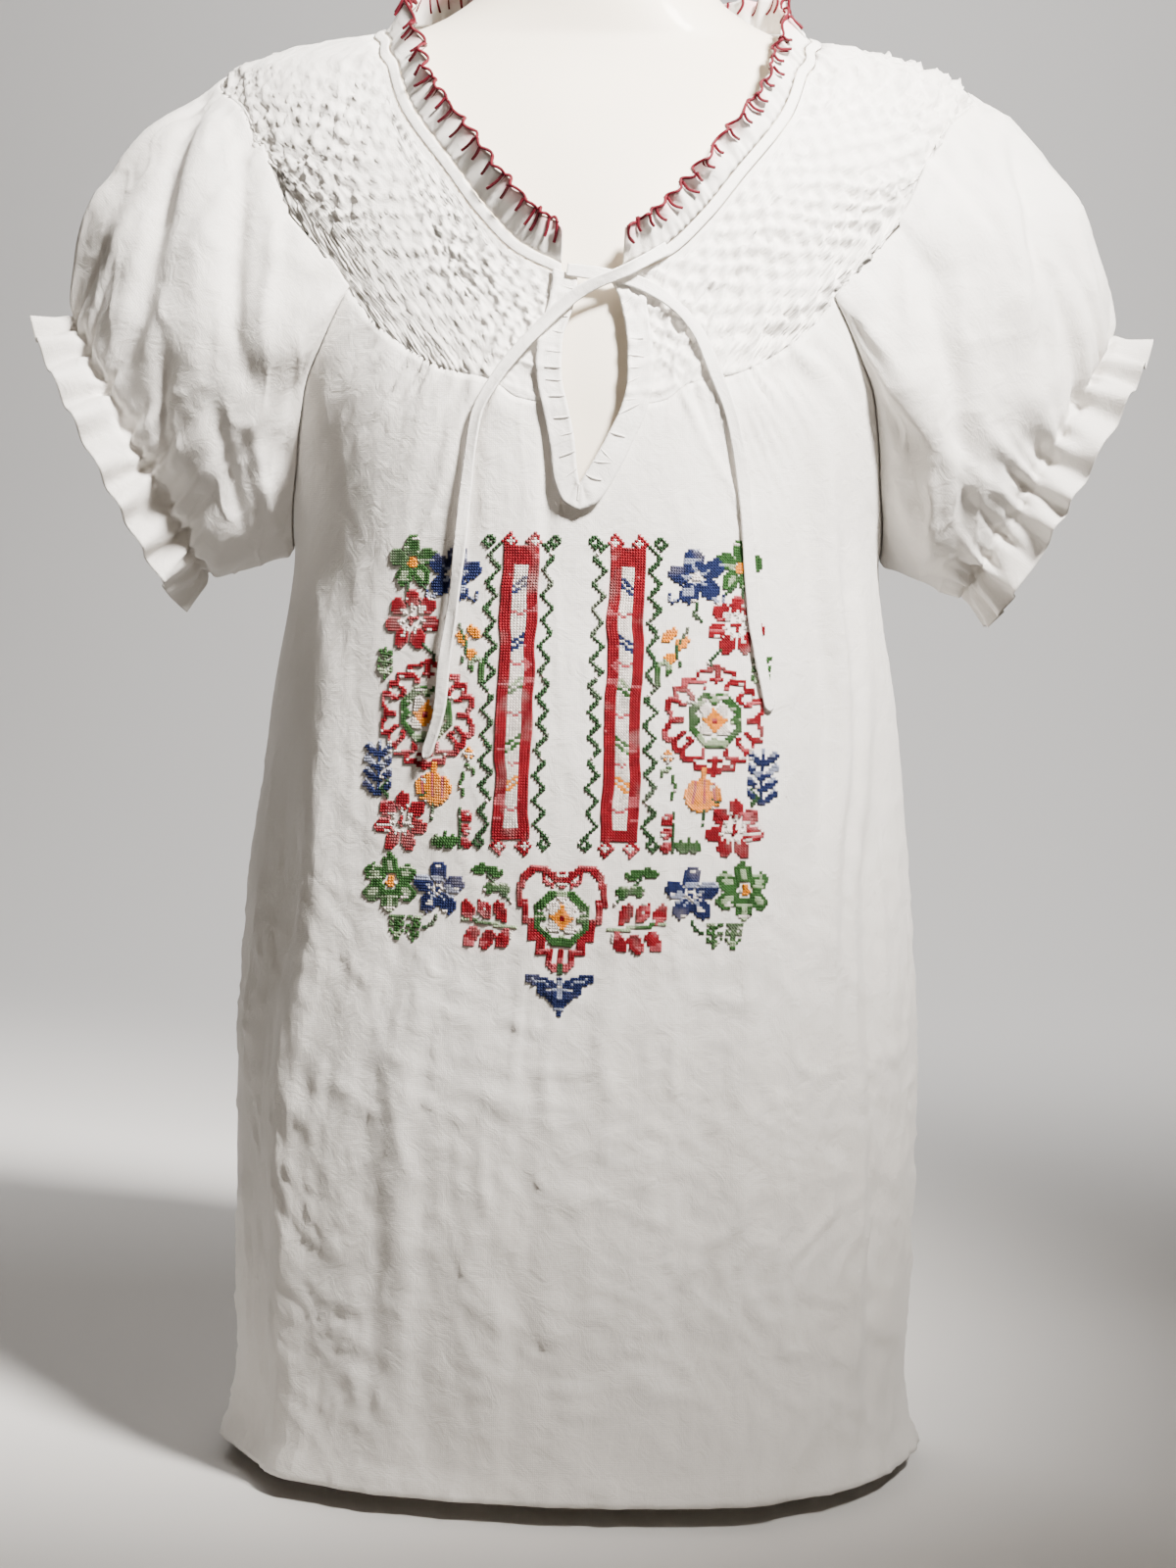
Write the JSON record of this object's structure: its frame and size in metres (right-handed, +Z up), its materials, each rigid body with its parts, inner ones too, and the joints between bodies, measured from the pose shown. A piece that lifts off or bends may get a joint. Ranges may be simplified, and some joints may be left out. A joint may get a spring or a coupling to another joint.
{
  "type": "peasant blouse on a limbless dress form",
  "caption": "White crinkled cotton peasant blouse with smocked yoke, ruffled neck, keyhole, free ties, puffed sleeves and cross-stitch panel, worn by a cream dress form.",
  "frame": {"origin": "middle of the dress form's flat base", "axes": "+Z up, the blouse's front faces -Y, +X to the right as seen from the front"},
  "size_m": [0.5428, 0.2584, 0.76],
  "materials": {
    "cotton": "crinkled plain-weave white cotton",
    "tape": "white cotton tape",
    "red_thread": "crimson embroidery thread",
    "embroidery": "stranded cotton cross stitch in red, green, navy and yellow",
    "form": "smooth cream plastic"
  },
  "bodies": {
    "root": {"front": "cotton", "back": "cotton", "sleeve_left": "cotton", "sleeve_right": "cotton", "neck_casing": "cotton", "neck_ruffle": "cotton", "keyhole_band": "cotton", "tie_left": "tape", "tie_right": "tape", "dress_form": "form"}
  },
  "joints": []
}
